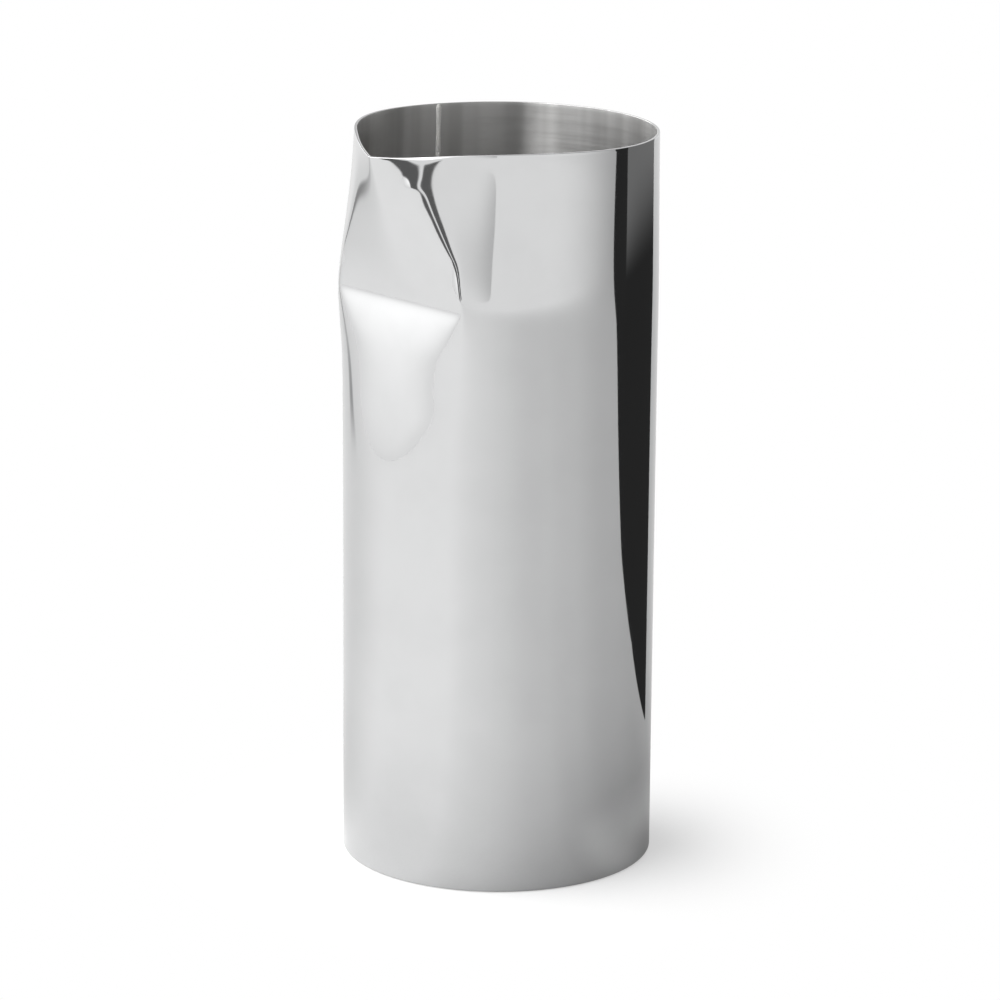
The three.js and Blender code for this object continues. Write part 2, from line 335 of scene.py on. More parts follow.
def side_radius(carafe, bearing, height):
    """Radius of the tube and its flanks, as if nothing were pressed in.

    The tube's radius, plus a bulge that fades with the inverse hyperbolic cosine of the height
    from the crease and the fourth power of the bearing, less the pinch at the rim. In front of
    the flank's bearing the wall runs on straight, as the radius over the cosine of the bearing
    left to go.
    """
    spout = carafe.spout
    away = np.abs(bearing)
    centre = spout.crease_height - SWELL_DROP * spout.crease_depth
    fade = 1.0 + (away / spout.swell_bearing) ** 4
    swell = spout.swell / np.cosh((height - centre) / spout.swell_spread) / fade
    drawn = ease((height - spout.pinch_start) / spout.pinch_length)
    past_flank = np.maximum(0.0, away - spout.flank_bearing)
    lobe = np.cos(np.minimum(LOBE_RATE * past_flank, math.pi / 2)) ** 2
    flat = ease((height - spout.crease_height) / spout.flank_blend + FLANK_LEAD)
    forward = flat * soft_max(0.0, spout.flank_bearing - away, spout.flank_softness)
    return (carafe.body.diameter / 2.0 + swell - spout.pinch * drawn * lobe) / np.cos(forward)


def front_reach(carafe, height):
    """How far the middle of the pressed front stands from the axis.

    Under the crease it runs in along a straight line with an exponential brow, and above it the
    panel leans out along a straight line to the lip. The larger of the two holds.
    """
    spout = carafe.spout
    inmost = carafe.body.diameter / 2.0 - spout.crease_depth
    panel = inmost + (spout.crease_depth + spout.lip_reach) * panel_share(carafe, height)
    below = spout.crease_height - height
    brow = spout.brow_depth * (1.0 - np.exp(-np.maximum(below, -spout.brow_length) / spout.brow_length))
    dent = inmost + (spout.crease_depth - spout.brow_depth) * below / spout.dent_length + brow
    return soft_max(panel, dent, spout.crease_softness)


def front_radius(carafe, bearing, height, reach):
    """Radius of the pressed front, which is a hyperbola in plan at a reach from the axis.

    At the crease its two arms are in line, and towards the rim they fold to a V. The rounding
    between them shrinks from the panel's crown to the point of the lip, by a power of the way
    left to the rim. Solving the hyperbola for the distance along a bearing gives the radius.
    """
    spout = carafe.spout
    forward = np.maximum(np.cos(bearing), FRONT_LIMIT)
    t = np.clip(panel_share(carafe, height), 0.0, 1.0)
    point = (spout.lip_fold - spout.panel_crown) * t**LIP_FOLD_POWER
    fold = spout.panel_crown * ease(CROWN_RATE * t) + point
    crown = spout.panel_crown_radius * (1.0 - t) ** spout.panel_crown_power
    rounding = fold * (spout.lip_fold_radius + crown)
    apex = reach + rounding
    square = apex**2 - rounding**2
    arms = forward**2 - (fold * np.sin(bearing)) ** 2
    spread = np.sqrt(np.maximum(0.0, (apex * forward) ** 2 - arms * square))
    return square / (apex * forward + spread)


def ridge_rounding(carafe, height):
    """Rounding of the folds: least a little above the crease, opening up to half way to the rim.

    It fades to nothing two dent lengths below, where the shaft is truly round.
    """
    spout = carafe.spout
    above = (height - spout.ridge_height) / (carafe.body.height - spout.ridge_height)
    below = (spout.ridge_height - height) / spout.dent_length
    opening = spout.ridge_opening * ease(RIDGE_OPENING_RATE * above)
    return spout.ridge_softness * ease(RIDGE_FADE - below) + opening


def knuckle(carafe, bearing, height):
    """Rise of the small bump on one fold: a bell curve of the distance from its middle."""
    spout = carafe.spout
    across = carafe.body.diameter / 2.0 * (bearing - spout.knuckle_bearing)
    up = height - spout.knuckle_height
    return spout.knuckle_rise * np.exp(-(across**2 + up**2) / spout.knuckle_spread**2)


def rim_rise(carafe, bearing):
    """Height gained by the rim on a bearing: bell curves up at the flanks and down at the lip."""
    spout = carafe.spout
    away = np.abs(bearing)
    lip = spout.lip_dip * np.exp(-((away / spout.lip_dip_bearing) ** 2))
    off_flank = (away - spout.flank_rise_bearing) / spout.flank_rise_spread
    flank = spout.flank_rise * np.exp(-(off_flank**2))
    return spout.rim_lift + flank - lip


def outer_point(carafe, bearing, height):
    """Point of the outer face, from a bearing measured from the spout and a height.

    The radius is the smaller of the side's and the front's, with the fold between them rounded.
    In the dent the rounding is a share of the depth, and the front moves out by the square of
    that share, which keeps the depth in the middle. The rim's rise comes in with the square of
    the way up the panel.
    """
    bearing = np.arctan2(np.sin(bearing), np.cos(bearing))
    spout = carafe.spout
    side = side_radius(carafe, bearing, height)
    reach = front_reach(carafe, height)
    depth = soft_max(0.0, side_radius(carafe, 0.0, height) - reach, spout.dent_foot_softness)
    roundness = spout.dent_roundness * ease((spout.crease_height - height) / spout.dent_round_run)
    front = front_radius(carafe, bearing, height, reach + roundness**2 * depth)
    in_front = np.cos(bearing) > FRONT_LIMIT
    pressed = soft_min(side, front, ridge_rounding(carafe, height) + roundness * depth)
    radius = np.where(in_front, pressed, side) + knuckle(carafe, bearing, height)
    lifted = np.clip(panel_share(carafe, height), 0.0, RIM_SHARE_LIMIT) ** 2
    rise = rim_rise(carafe, bearing) * lifted
    return np.stack([radius * np.sin(bearing), -radius * np.cos(bearing), height + rise], axis=-1)


def sheet_point(carafe, bearing, height, depth):
    """Point at a depth under the outer face, along the normal from two central differences."""
    bearing, height, depth = np.broadcast_arrays(bearing, height, depth)
    ahead = outer_point(carafe, bearing + BEARING_STEP, height)
    behind = outer_point(carafe, bearing - BEARING_STEP, height)
    above = outer_point(carafe, bearing, height + HEIGHT_STEP)
    under = outer_point(carafe, bearing, height - HEIGHT_STEP)
    outward = np.cross(ahead - behind, above - under)
    outward /= np.linalg.norm(outward, axis=-1, keepdims=True)
    return outer_point(carafe, bearing, height) - outward * depth[..., None]


def wall_bearings():
    """Bearings of the wall's columns, once round from the left edge of the spout."""
    spout = np.linspace(-SPOUT_HALF_WIDTH, SPOUT_HALF_WIDTH, SPOUT_COLUMNS, endpoint=False)
    back = np.linspace(SPOUT_HALF_WIDTH, 2 * math.pi - SPOUT_HALF_WIDTH, BACK_COLUMNS, endpoint=False)
    return np.concatenate([spout, back])


def face_heights(carafe, low, high, dent_rows, panel_rows):
    """Heights of the rows of one face, from low to high, crowded towards the crease by a power."""
    crease = carafe.spout.crease_height
    dent_foot = crease - DENT_ROWS_REACH * carafe.spout.dent_length
    shaft = np.linspace(low, dent_foot, SHAFT_ROWS, endpoint=False)
    down = np.linspace(1.0, 0.0, dent_rows, endpoint=False) ** CREASE_CROWDING
    up = np.linspace(0.0, 1.0, panel_rows) ** CREASE_CROWDING
    dent = crease - (crease - dent_foot) * down
    panel = crease + (high - crease) * up
    return np.concatenate([shaft, dent, panel])


def wall_profile(carafe):
    """Heights and depths of the wall's rows: up the outside, over the rim and down the inside.

    The outer edge at the foot and both edges of the rim are quarter circles.
    """
    body = carafe.body
    foot = body.foot_round
    rim = body.rim_round
    quarter = np.linspace(0.0, math.pi / 2, EDGE_ROWS, endpoint=False)
    rise = np.sin(quarter)
    turn = np.cos(quarter)
    top = body.height - rim
    outside = face_heights(carafe, foot, top, OUTER_DENT_ROWS, OUTER_PANEL_ROWS)
    inside = face_heights(carafe, foot, top, INNER_DENT_ROWS, INNER_PANEL_ROWS)[::-1]
    rows = (
        (foot * (1.0 - turn), foot * (1.0 - rise)),
        (outside, np.zeros(len(outside))),
        (top + rim * np.append(rise[1:], 1.0), rim * (1.0 - np.append(turn[1:], 0.0))),
        (top + rim * np.append(1.0, turn[1:]), body.wall - rim + rim * np.append(0.0, rise[1:])),
        (inside, np.full(len(inside), body.wall)),
        ([0.0], [body.wall]),
    )
    heights, depths = zip(*rows)
    return np.concatenate(heights), np.concatenate(depths)


def grid_faces(rows, columns, closed):
    """Quads of a grid whose columns run round. A closed grid's last row joins its first."""
    here = np.arange(rows if closed else rows - 1)[:, None]
    column = np.arange(columns)[None, :]
    following = (column + 1) % columns
    above = (here + 1) % rows
    corners = [here * columns + column, here * columns + following]
    corners += [above * columns + following, above * columns + column]
    return np.stack(corners, axis=-1).reshape(-1, 4)


def fan(ring, centre):
    """Triangles from each side of a ring to its centre."""
    return np.stack([ring, np.roll(ring, -1), np.full(len(ring), centre)], axis=-1)


def add_object(name, data):
    """A new object for a mesh, a camera or a lamp, linked to the scene."""
    made = bpy.data.objects.new(name, data)
    bpy.context.scene.collection.objects.link(made)
    return made


def mesh_from_grid(name, points, closed):
    """A smooth mesh object from a grid of points, rows first.

    A grid that isn't closed gets a fan of triangles to a middle point at both ends.
    """
    rows, columns = points.shape[:2]
    vertices = points.reshape(-1, 3)
    faces = grid_faces(rows, columns, closed).tolist()
    if not closed:
        first = np.arange(columns)
        last = first + (rows - 1) * columns
        middles = np.stack([points[0].mean(axis=0), points[-1].mean(axis=0)])
        vertices = np.concatenate([vertices, middles])
        faces += fan(first[::-1], rows * columns).tolist()
        faces += fan(last, rows * columns + 1).tolist()
    mesh = bpy.data.meshes.new(name)
    mesh.from_pydata(vertices.tolist(), [], faces)
    mesh.validate()
    mesh.shade_smooth()
    return add_object(name, mesh)


def finish_piece(piece, materials, node):
    """Gives a piece its materials and its body, and hides the CAD node that it stands in for."""
    for material in materials:
        piece.data.materials.append(material)
    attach(piece, "root")
    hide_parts(node)


class Shader:
    """A node tree with short calls for adding and joining nodes."""

    def __init__(self, tree):
        self.tree = tree
        tree.nodes.clear()

    def node(self, kind, inputs=None, **settings):
        """A node of a kind. Inputs are values, or outputs of other nodes to join."""
        made = self.tree.nodes.new("ShaderNode" + kind)
        for key, value in settings.items():
            setattr(made, key, value)
        for key, value in (inputs or {}).items():
            if isinstance(value, bpy.types.NodeSocket):
                self.tree.links.new(value, made.inputs[key])
            else:
                made.inputs[key].default_value = value
        return made

    def math(self, operation, *values):
        """The result of a Math node."""
        return self.node("Math", dict(enumerate(values)), operation=operation).outputs[0]

    def product(self, first, *others):
        """Values multiplied together."""
        for other in others:
            first = self.math("MULTIPLY", first, other)
        return first

    def ramp(self, value, low, high, bottom=0.0, top=1.0):
        """A value carried smoothly from one range to another."""
        inputs = {"Value": value, "From Min": low, "From Max": high}
        inputs.update({"To Min": bottom, "To Max": top})
        made = self.node("MapRange", inputs, interpolation_type="SMOOTHSTEP")
        return made.outputs["Result"]

    def mix(self, factor, a, b):
        """A colour between two colours, which are inputs 6 and 7 of a Mix node."""
        made = self.node("Mix", {0: factor, 6: a, 7: b}, data_type="RGBA")
        return made.outputs[2]

    def blend(self, factor, a, b):
        """A number between two numbers, which are inputs 2 and 3 of a Mix node."""
        made = self.node("Mix", {0: factor, 2: a, 3: b}, data_type="FLOAT")
        return made.outputs[0]

    def noise(self, vector, scale, detail=3.0, roughness=0.6):
        """Noise between 0 and 1."""
        inputs = {"Vector": vector, "Scale": scale, "Detail": detail, "Roughness": roughness}
        return self.node("TexNoise", inputs).outputs["Fac"]

    def along(self, vector, axis):
        """How far a vector runs along an axis."""
        made = self.node("VectorMath", {0: vector, 1: axis}, operation="DOT_PRODUCT")
        return made.outputs["Value"]

    def lines(self, vector, across, along, detail=3.0, roughness=0.6):
        """Noise scaled apart, for marks that run level or upright."""
        inputs = {"Vector": vector, "Scale": (across, across, along)}
        lay = self.node("Mapping", inputs).outputs["Vector"]
        return self.noise(lay, scale=1.0, detail=detail, roughness=roughness)


def opaque(value, tone=1.0):
    """A colour with full alpha, from a colour property and a tone to dim it by."""
    return (*(tone * part for part in value), 1.0)


def spread(middle, shares):
    """The least and the greatest value, as shares of a middle one."""
    return [part * middle for part in shares]


def new_material(name):
    """An empty material with its shader helper and its object coordinates."""
    material = bpy.data.materials.new(name)
    material.use_nodes = True
    shader = Shader(material.node_tree)
    place = shader.node("TexCoord").outputs["Object"]
    return material, shader, place


def steel_output(shader, base, roughness, relief, strength, distance, more=None):
    """Joins colour, roughness and a bump to a metal surface."""
    bump = shader.node("Bump", {"Height": relief, "Strength": strength, "Distance": distance})
    inputs = {"Base Color": base, "Roughness": roughness, "Normal": bump.outputs["Normal"]}
    surface = shader.node("BsdfPrincipled", {**inputs, "Metallic": 1.0, **(more or {})})
    shader.node("OutputMaterial", {"Surface": surface.outputs["BSDF"]})


def polish_material(finish):
    """Mirror polish with faint level buffing lines, a slow waviness and a little haze."""
    material, shader, place = new_material("mirror_steel")
    blotches = shader.noise(place, scale=55.0)
    buffing = shader.lines(place, across=14.0, along=900.0)
    wave = shader.lines(place, across=26.0, along=7.0, detail=1.0, roughness=0.4)
    hazy = opaque(finish.polished, HAZE_TONE)
    base = shader.mix(shader.ramp(blotches, 0.35, 0.75), opaque(finish.polished), hazy)
    roughness = shader.ramp(buffing, 0.3, 0.75, *spread(finish.polished_roughness, POLISH_SPREAD))
    faint = shader.product(buffing, 0.06)
    slow = shader.math("ADD", shader.product(wave, 12.0), faint)
    steel_output(shader, base, roughness, slow, strength=0.05, distance=0.00005)
    return material


def satin_material(finish):
    """Inside of the wall, brushed round the tube: its gloss spreads up and down.

    Upright drawing streaks show through the level brush lines, with a few blotches.
    """
    material, shader, place = new_material("brushed_steel_inside")
    brushing = shader.lines(place, across=11.0, along=2600.0, detail=4.0)
    streaks = shader.lines(place, across=130.0, along=2.0, detail=2.0, roughness=0.5)
    blotches = shader.noise(place, scale=55.0)
    smears = shader.lines(place, across=45.0, along=420.0, detail=4.0, roughness=0.65)
    dull = opaque(finish.satin, BRUSHED_DULL_TONE)
    drawn = shader.mix(shader.ramp(streaks, 0.3, 0.7), dull, opaque(finish.satin))
    base = shader.mix(shader.ramp(smears, 0.45, 0.75, 0.0, 0.3), drawn, dull)
    brushed = shader.ramp(brushing, 0.3, 0.7, *spread(finish.satin_roughness, BRUSHED_SPREAD))
    roughness = shader.product(brushed, shader.ramp(blotches, 0.3, 0.75, 0.92, 1.1))
    marks = shader.math("ADD", shader.product(brushing, 0.3), streaks)
    round_axis = shader.node("Tangent", direction_type="RADIAL", axis="Z").outputs["Tangent"]
    upright = {"Anisotropic": 0.75, "Anisotropic Rotation": 0.25, "Tangent": round_axis}
    steel_output(shader, base, roughness, marks, strength=0.06, distance=0.0001, more=upright)
    return material


def weld_material(finish):
    """Bright cast skin of a weld bead, with fine pits and a straw tint in places."""
    material, shader, place = new_material("weld_steel_bead")
    patches = shader.noise(place, scale=260.0)
    pits = shader.noise(place, scale=2600.0, detail=2.0, roughness=0.5)
    tinted = shader.ramp(patches, 0.58, 0.8, 0.0, 0.35)
    base = shader.mix(tinted, opaque(finish.weld), opaque(finish.tint))
    roughness = shader.ramp(patches, 0.3, 0.7, *spread(finish.weld_roughness, WELD_SPREAD))
    steel_output(shader, base, roughness, pits, strength=0.25, distance=0.00008)
    return material


def disc_material(finish):
    """Satin face turned in rings: noise over the distance from the axis, with cross scratches."""
    material, shader, place = new_material("turned_satin_steel")
    parts = shader.node("SeparateXYZ", {"Vector": place}).outputs
    squares = [shader.product(parts[axis], parts[axis]) for axis in ("X", "Y")]
    radius = shader.math("SQRT", shader.math("ADD", *squares))
    ring_place = shader.node("CombineXYZ", {"X": radius}).outputs["Vector"]
    rings = shader.noise(ring_place, scale=2400.0)
    broad_rings = shader.noise(ring_place, scale=240.0, detail=2.0, roughness=0.5)
    smudges = shader.noise(place, scale=40.0)
    lay = {"Rotation": (0.0, 0.0, SCRATCH_TURN), "Scale": (30.0, 1500.0, 1.0)}
    scratch_place = shader.node("Mapping", {"Vector": place, **lay}).outputs["Vector"]
    scratches = shader.noise(scratch_place, scale=1.0, detail=2.0, roughness=0.5)
    dull = opaque(finish.satin, TURNED_DULL_TONE)
    base = shader.mix(shader.ramp(broad_rings, 0.3, 0.7), dull, opaque(finish.satin))
    turned = shader.ramp(rings, 0.3, 0.7, *spread(finish.satin_roughness, TURNED_SPREAD))
    roughness = shader.product(turned, shader.ramp(smudges, 0.3, 0.7, 0.9, 1.25))
    marks = shader.math("ADD", rings, shader.product(shader.ramp(scratches, 0.7, 0.8), 0.4))
    steel_output(shader, base, roughness, marks, strength=0.2, distance=0.0001)
    return material


def bead_ripple(along, pitch):
    """Overlapping scales of a weld: a sawtooth of the path with rounded backs, from 0 to 1."""
    phase = along / pitch
    scale = phase - np.floor(phase)
    return np.sqrt(np.maximum(0.0, 1.0 - scale**2))


def seam_points(carafe):
    """Grid of the seam's bead: a flat ellipse carried up the inner face, rippled on its crown.

    The bead is half sunk in the wall. Its width and crown swell and shrink a little with a sum
    of sines of the height, and both fall to a small end at the base and at the rim.
    """
    welds = carafe.welds
    body = carafe.body
    low = welds.base_thickness
    high = body.height - body.rim_round
    height = np.linspace(low, high, BEAD_ROWS)[:, None]
    turn = np.linspace(0.0, 2 * math.pi, BEAD_POINTS, endpoint=False)[None, :]
    across = np.cos(turn)
    over = np.sin(turn)
    lag = RIPPLE_LAG * welds.ripple_pitch * across**2
    ripple = bead_ripple(height + lag, welds.ripple_pitch)
    wander = sum(np.sin(height / run + phase) for run, phase in BEAD_WANDER)
    from_end = np.clip(np.minimum(height - low, high - height) / welds.seam_width, 0.0, 1.0)
    taper = BEAD_END + (1.0 - BEAD_END) * np.sqrt(from_end * (2.0 - from_end))
    swelling = 1.0 + WANDER_WIDTH * wander + RIPPLE_WIDTH * (ripple - 0.5)
    half_width = welds.seam_width / 2.0 * taper * swelling
    scales = 1.0 - welds.ripple_share * (1.0 - ripple)
    crown = welds.seam_crown * taper * (1.0 + WANDER_CROWN * wander) * scales
    sunk = BEAD_SINK * body.wall
    bearing = welds.seam_bearing - half_width * across / (body.diameter / 2.0 - body.wall)
    depth = body.wall + np.where(over > 0.0, crown * over**2, sunk * over)
    return sheet_point(carafe, bearing, height, depth)


def revolved(profile, columns):
    """Grid of a profile of radius and height carried round the axis."""
    turn = np.linspace(0.0, 2 * math.pi, columns, endpoint=False)[None, :]
    radius = profile[:, :1]
    height = np.broadcast_to(profile[:, 1:], (len(profile), columns))
    return np.stack([radius * np.cos(turn), radius * np.sin(turn), height], axis=-1)


def disc_radius(carafe):
    """Radius of the base disc inside the wall."""
    body = carafe.body
    return body.diameter / 2.0 - body.wall - carafe.welds.fit_gap


def disc_points(carafe):
    """Grid of the base disc: out along the underside, up the bevel and the edge, and back in."""
    welds = carafe.welds
    radius = disc_radius(carafe)
    flat = radius - welds.base_bevel
    inner = flat / DISC_FACE_ROWS
    below = np.stack([np.linspace(inner, flat, DISC_FACE_ROWS), np.zeros(DISC_FACE_ROWS)], axis=-1)
    edge = np.array([[radius, welds.base_bevel], [radius, welds.base_thickness]])
    above = below[::-1] + np.array([0.0, welds.base_thickness])
    return revolved(np.concatenate([below, edge, above]), DISC_COLUMNS)


def ring_points(carafe):
    """Grid of the base weld: a rounded triangle carried round the foot, with faint ripples.

    It fills the bevel and reaches the bore. Its face underneath is dressed almost flush, and what
    is left of each scale is a step of a few hundredths of a millimetre.
    """
    welds = carafe.welds
    radius = disc_radius(carafe)
    leg = welds.base_bevel
    turn = np.linspace(0.0, 2 * math.pi, RING_COLUMNS, endpoint=False)[None, :]
    girth = 2 * math.pi * radius
    ripple = bead_ripple(radius * turn, girth / round(girth / welds.ripple_pitch))
    step = np.linspace(0.0, 1.0, RING_POINTS)[:, None]
    face_radius = radius - leg * (1.0 - RING_REACH * step)
    crown = RING_CROWN * leg * np.sin(math.pi * step)
    face_height = crown * (RING_DRESSED + RING_RIPPLE * ripple)
    root_radius = np.full((1, RING_COLUMNS), radius)
    root_height = np.full((1, RING_COLUMNS), leg)
    ring_radius = np.concatenate([face_radius.repeat(RING_COLUMNS, axis=1), root_radius])
    ring_height = np.concatenate([face_height, root_height])
    return np.stack([ring_radius * np.cos(turn), ring_radius * np.sin(turn), ring_height], axis=-1)


class CARAFE_OT_wall(bpy.types.Operator):
    """Build the rolled and pressed wall, polished outside and satin inside"""

    bl_idname = "carafe.wall"
    bl_label = "Wall"

    def execute(self, context):
        carafe = context.scene.carafe
        heights, depths = wall_profile(carafe)
        bearings = wall_bearings()
        points = sheet_point(carafe, bearings[None, :], heights[:, None], depths[:, None])
        piece = mesh_from_grid("carafe_wall", points, True)
        materials = [polish_material(carafe.finish), satin_material(carafe.finish)]
        finish_piece(piece, materials, "body_wall")
        inner_edge = carafe.body.wall - carafe.body.rim_round / 2.0
        inside = np.repeat(depths >= inner_edge, len(bearings))
        piece.data.polygons.foreach_set("material_index", inside.astype(np.int32))
        return {"FINISHED"}


class CARAFE_OT_seam(bpy.types.Operator):
    """Build the rippled bead of the seam inside the wall"""

    bl_idname = "carafe.seam"
    bl_label = "Seam weld"

    def execute(self, context):
        carafe = context.scene.carafe
        piece = mesh_from_grid("carafe_seam", seam_points(carafe), False)
        finish_piece(piece, [weld_material(carafe.finish)], "seam_weld")
        return {"FINISHED"}


class CARAFE_OT_base(bpy.types.Operator):
    """Build the base disc and the ring of weld that holds it"""

    bl_idname = "carafe.base"
    bl_label = "Base"

    def execute(self, context):
        carafe = context.scene.carafe
        disc = mesh_from_grid("carafe_base", disc_points(carafe), False)
        finish_piece(disc, [disc_material(carafe.finish)], "base_disc")
        ring = mesh_from_grid("carafe_base_weld", ring_points(carafe), True)
        finish_piece(ring, [weld_material(carafe.finish)], "base_weld")
        return {"FINISHED"}


def studio_turn(studio):
    """Turn from the camera's ground axes, right and away, to the carafe's own."""
    return Matrix.Rotation(studio.azimuth, 3, "Z")


def place_camera(studio):
    """Camera at the photograph's place: level distance and height, then tilt, yaw and roll."""
    forward = Vector((0.0, math.cos(studio.tilt), -math.sin(studio.tilt)))
    up = Vector((0.0, math.sin(studio.tilt), math.cos(studio.tilt)))
    right = Vector((1.0, 0.0, 0.0))
    turn = studio_turn(studio) @ Matrix.Rotation(studio.yaw, 3, "Z")
    rolled_right = math.cos(studio.roll) * right + math.sin(studio.roll) * up
    rolled_up = math.cos(studio.roll) * up - math.sin(studio.roll) * right
    axes = Matrix((turn @ rolled_right, turn @ rolled_up, turn @ -forward)).transposed()
    data = bpy.data.cameras.new("photo_camera")
    data.lens = studio.lens
    data.sensor_width = studio.sensor
    camera = add_object("photo_camera", data)
    place = studio_turn(studio) @ Vector((0.0, -studio.distance, studio.camera_height))
    camera.matrix_world = Matrix.Translation(place) @ axes.to_4x4()
    bpy.context.scene.camera = camera


def flat_mesh(name, corners):
    """A single flat face as a mesh object, from its corners in order."""
    mesh = bpy.data.meshes.new(name)
    mesh.from_pydata([tuple(corner) for corner in corners], [], [tuple(range(len(corners)))])
    return add_object(name, mesh)


def left_and_away(shader, studio, direction):
    """How far a direction points to the camera's left, and away from the camera."""
    turn = studio_turn(studio)
    left = shader.along(direction, turn @ Vector((-1.0, 0.0, 0.0)))
    away = shader.along(direction, turn @ Vector((0.0, 1.0, 0.0)))
    return left, away


def far_side_tone(shader, left, away):
    """Tone of the far studio: white, but dimmer and dimmer round to the right."""
    off_side = shader.math("ABSOLUTE", away)
    dim = shader.ramp(off_side, *FAR_DIM)
    return shader.blend(shader.ramp(left, *FAR_LEFT), dim, 1.0)


def paper_painted_light_and_shade(shader, left, away, from_axis):
    """Painted shade of the paper in the polish: the product of tones by side, by depth and at the foot,
    darker to the right, far behind, far in front and close to the foot.

    Close to the foot on the right a painted light lifts the paper again.
    """
    side = shader.product(shader.ramp(left, *RIGHT_TONE), shader.ramp(left, *SIDE_TONE))
    depth = shader.product(shader.ramp(away, *AWAY_TONE), shader.ramp(away, *FRONT_TONE))
    close_by = shader.ramp(from_axis, *CLOSE_BY)
    beside_foot = shader.product(shader.ramp(left, *BESIDE_FOOT_TONE), close_by)
    lift = shader.math("ADD", 1.0, beside_foot)
    foot = shader.product(shader.ramp(from_axis, *FOOT_TONE), lift)
    return shader.product(side, depth, foot)


def floor_material(studio):
    """Pale paper that keeps the shadow, and that the camera sees as a white sweep further off. In the
    polish it carries painted shade and painted light, and further off it glows dimmer to the right as
    painted shade.
    """
    material, shader, place = new_material("floor_paper")
    grain = shader.noise(place, scale=900.0, detail=2.0, roughness=0.5)
    shade = opaque(studio.floor, PAPER_GRAIN_TONE)
    base = shader.mix(shader.ramp(grain, 0.3, 0.7), shade, opaque(studio.floor))
    rays = shader.node("LightPath").outputs
    bearing = shader.node("VectorMath", {0: place}, operation="NORMALIZE").outputs["Vector"]
    left, away = left_and_away(shader, studio, bearing)
    from_axis = shader.node("VectorMath", {0: place}, operation="LENGTH").outputs["Value"]
    # Glossy rays see the near paper with painted shade and painted light; other rays see its plain
    # colour.
    near_painted_light_and_shade = shader.blend(rays["Is Glossy Ray"], 1.0, paper_painted_light_and_shade(shader, left, away, from_axis))
    toned = shader.node("VectorMath", {0: base, "Scale": near_painted_light_and_shade}, operation="SCALE")
    paper = shader.node("BsdfDiffuse", {"Color": toned.outputs["Vector"]})
    # Glossy rays see the far paper glow dimmer to the right, as painted shade; the camera sees it an
    # even white.
    far_tone = shader.blend(rays["Is Glossy Ray"], 1.0, far_side_tone(shader, left, away))
    white = shader.node("Emission", {"Strength": far_tone})
    camera_share = shader.product(rays["Is Camera Ray"], shader.ramp(from_axis, *SWEEP))
    glossy_share = shader.product(rays["Is Glossy Ray"], shader.ramp(from_axis, *FAR_OFF))
    factor = shader.math("MAXIMUM", camera_share, glossy_share)
    surface = shader.node("MixShader", {0: factor, 1: paper.outputs[0], 2: white.outputs[0]})
    shader.node("OutputMaterial", {"Surface": surface.outputs[0]})
    return material


def card_material(name, axis, start, end, first, last):
    """A studio card that only shows its own grey, which runs between two places on an axis."""
    material, shader, place = new_material(name)
    grey = shader.ramp(shader.along(place, axis), start, end, first, last)
    glow = shader.node("Emission", {"Strength": grey})
    shader.node("OutputMaterial", {"Surface": glow.outputs[0]})
    return material


def card_outline(rounding):
    """Corners of a card on a unit square: a superellipse whose power is two over the rounding."""
    turn = np.linspace(0.0, 2 * math.pi, CARD_CORNERS, endpoint=False) + math.pi / CARD_CORNERS
    across = np.sign(np.cos(turn)) * np.abs(np.cos(turn)) ** rounding
    up = np.sign(np.sin(turn)) * np.abs(np.sin(turn)) ** rounding
    return 0.5 + 0.5 * np.stack([across, up], axis=-1)


def stage_card(card, material):
    """Makes a card show in polished steel, but not to the camera, and cast no shadow."""
    card.data.materials.append(material)
    card.visible_camera = False
    card.visible_diffuse = False
    card.visible_shadow = False


def add_card(studio, name, start, end, low, high, axis, greys, rounding=CARD_ROUNDING):
    """An upright card between two points over the floor, right and away, and two heights.

    The greys are two places along its axis and the strengths there.
    """
    turn = studio_turn(studio)
    across = Vector((*end, low)) - Vector((*start, low))
    up = Vector((0.0, 0.0, high - low))
    outline = [Vector((*start, low)) + u * across + v * up for u, v in card_outline(rounding).tolist()]
    card = flat_mesh(name, [turn @ corner for corner in outline])
    stage_card(card, card_material(name + "_grey", turn @ Vector(axis), *greys))


def soft_material(name, centre, heading, half_sizes, grey, soft_start):
    """Even grey of a flag or a mat, which thins out to nothing towards its edges.

    The place is counted from the centre in half sizes along the piece's own axes. The cover is
    the product of a smooth fall along each axis, from the soft start out to the edge.
    """
    material, shader, place = new_material(name)
    lay = {"Location": centre, "Rotation": (0.0, 0.0, heading), "Scale": half_sizes}
    inside = shader.node("Mapping", {"Vector": place, **lay}, vector_type="TEXTURE").outputs["Vector"]
    cover = 1.0
    for part in shader.node("SeparateXYZ", {"Vector": inside}).outputs:
        fall = shader.ramp(shader.math("ABSOLUTE", part), soft_start, 1.0, 1.0, 0.0)
        cover = shader.product(cover, fall)
    tone = shader.node("Emission", {"Strength": grey})
    clear = shader.node("BsdfTransparent")
    surface = shader.node("MixShader", {0: cover, 1: clear.outputs[0], 2: tone.outputs[0]})
    shader.node("OutputMaterial", {"Surface": surface.outputs[0]})
    return material


def add_soft_card(name, centre, wide, tall, half_sizes, grey, soft_start):
    """A flat card with soft edges, from its centre and the vectors to two of its sides."""
    heading = math.atan2(wide.y, wide.x)
    corners = [centre - wide - tall, centre + wide - tall, centre + wide + tall, centre - wide + tall]
    material = soft_material(name + "_grey", centre, heading, half_sizes, grey, soft_start)
    stage_card(flat_mesh(name, corners), material)


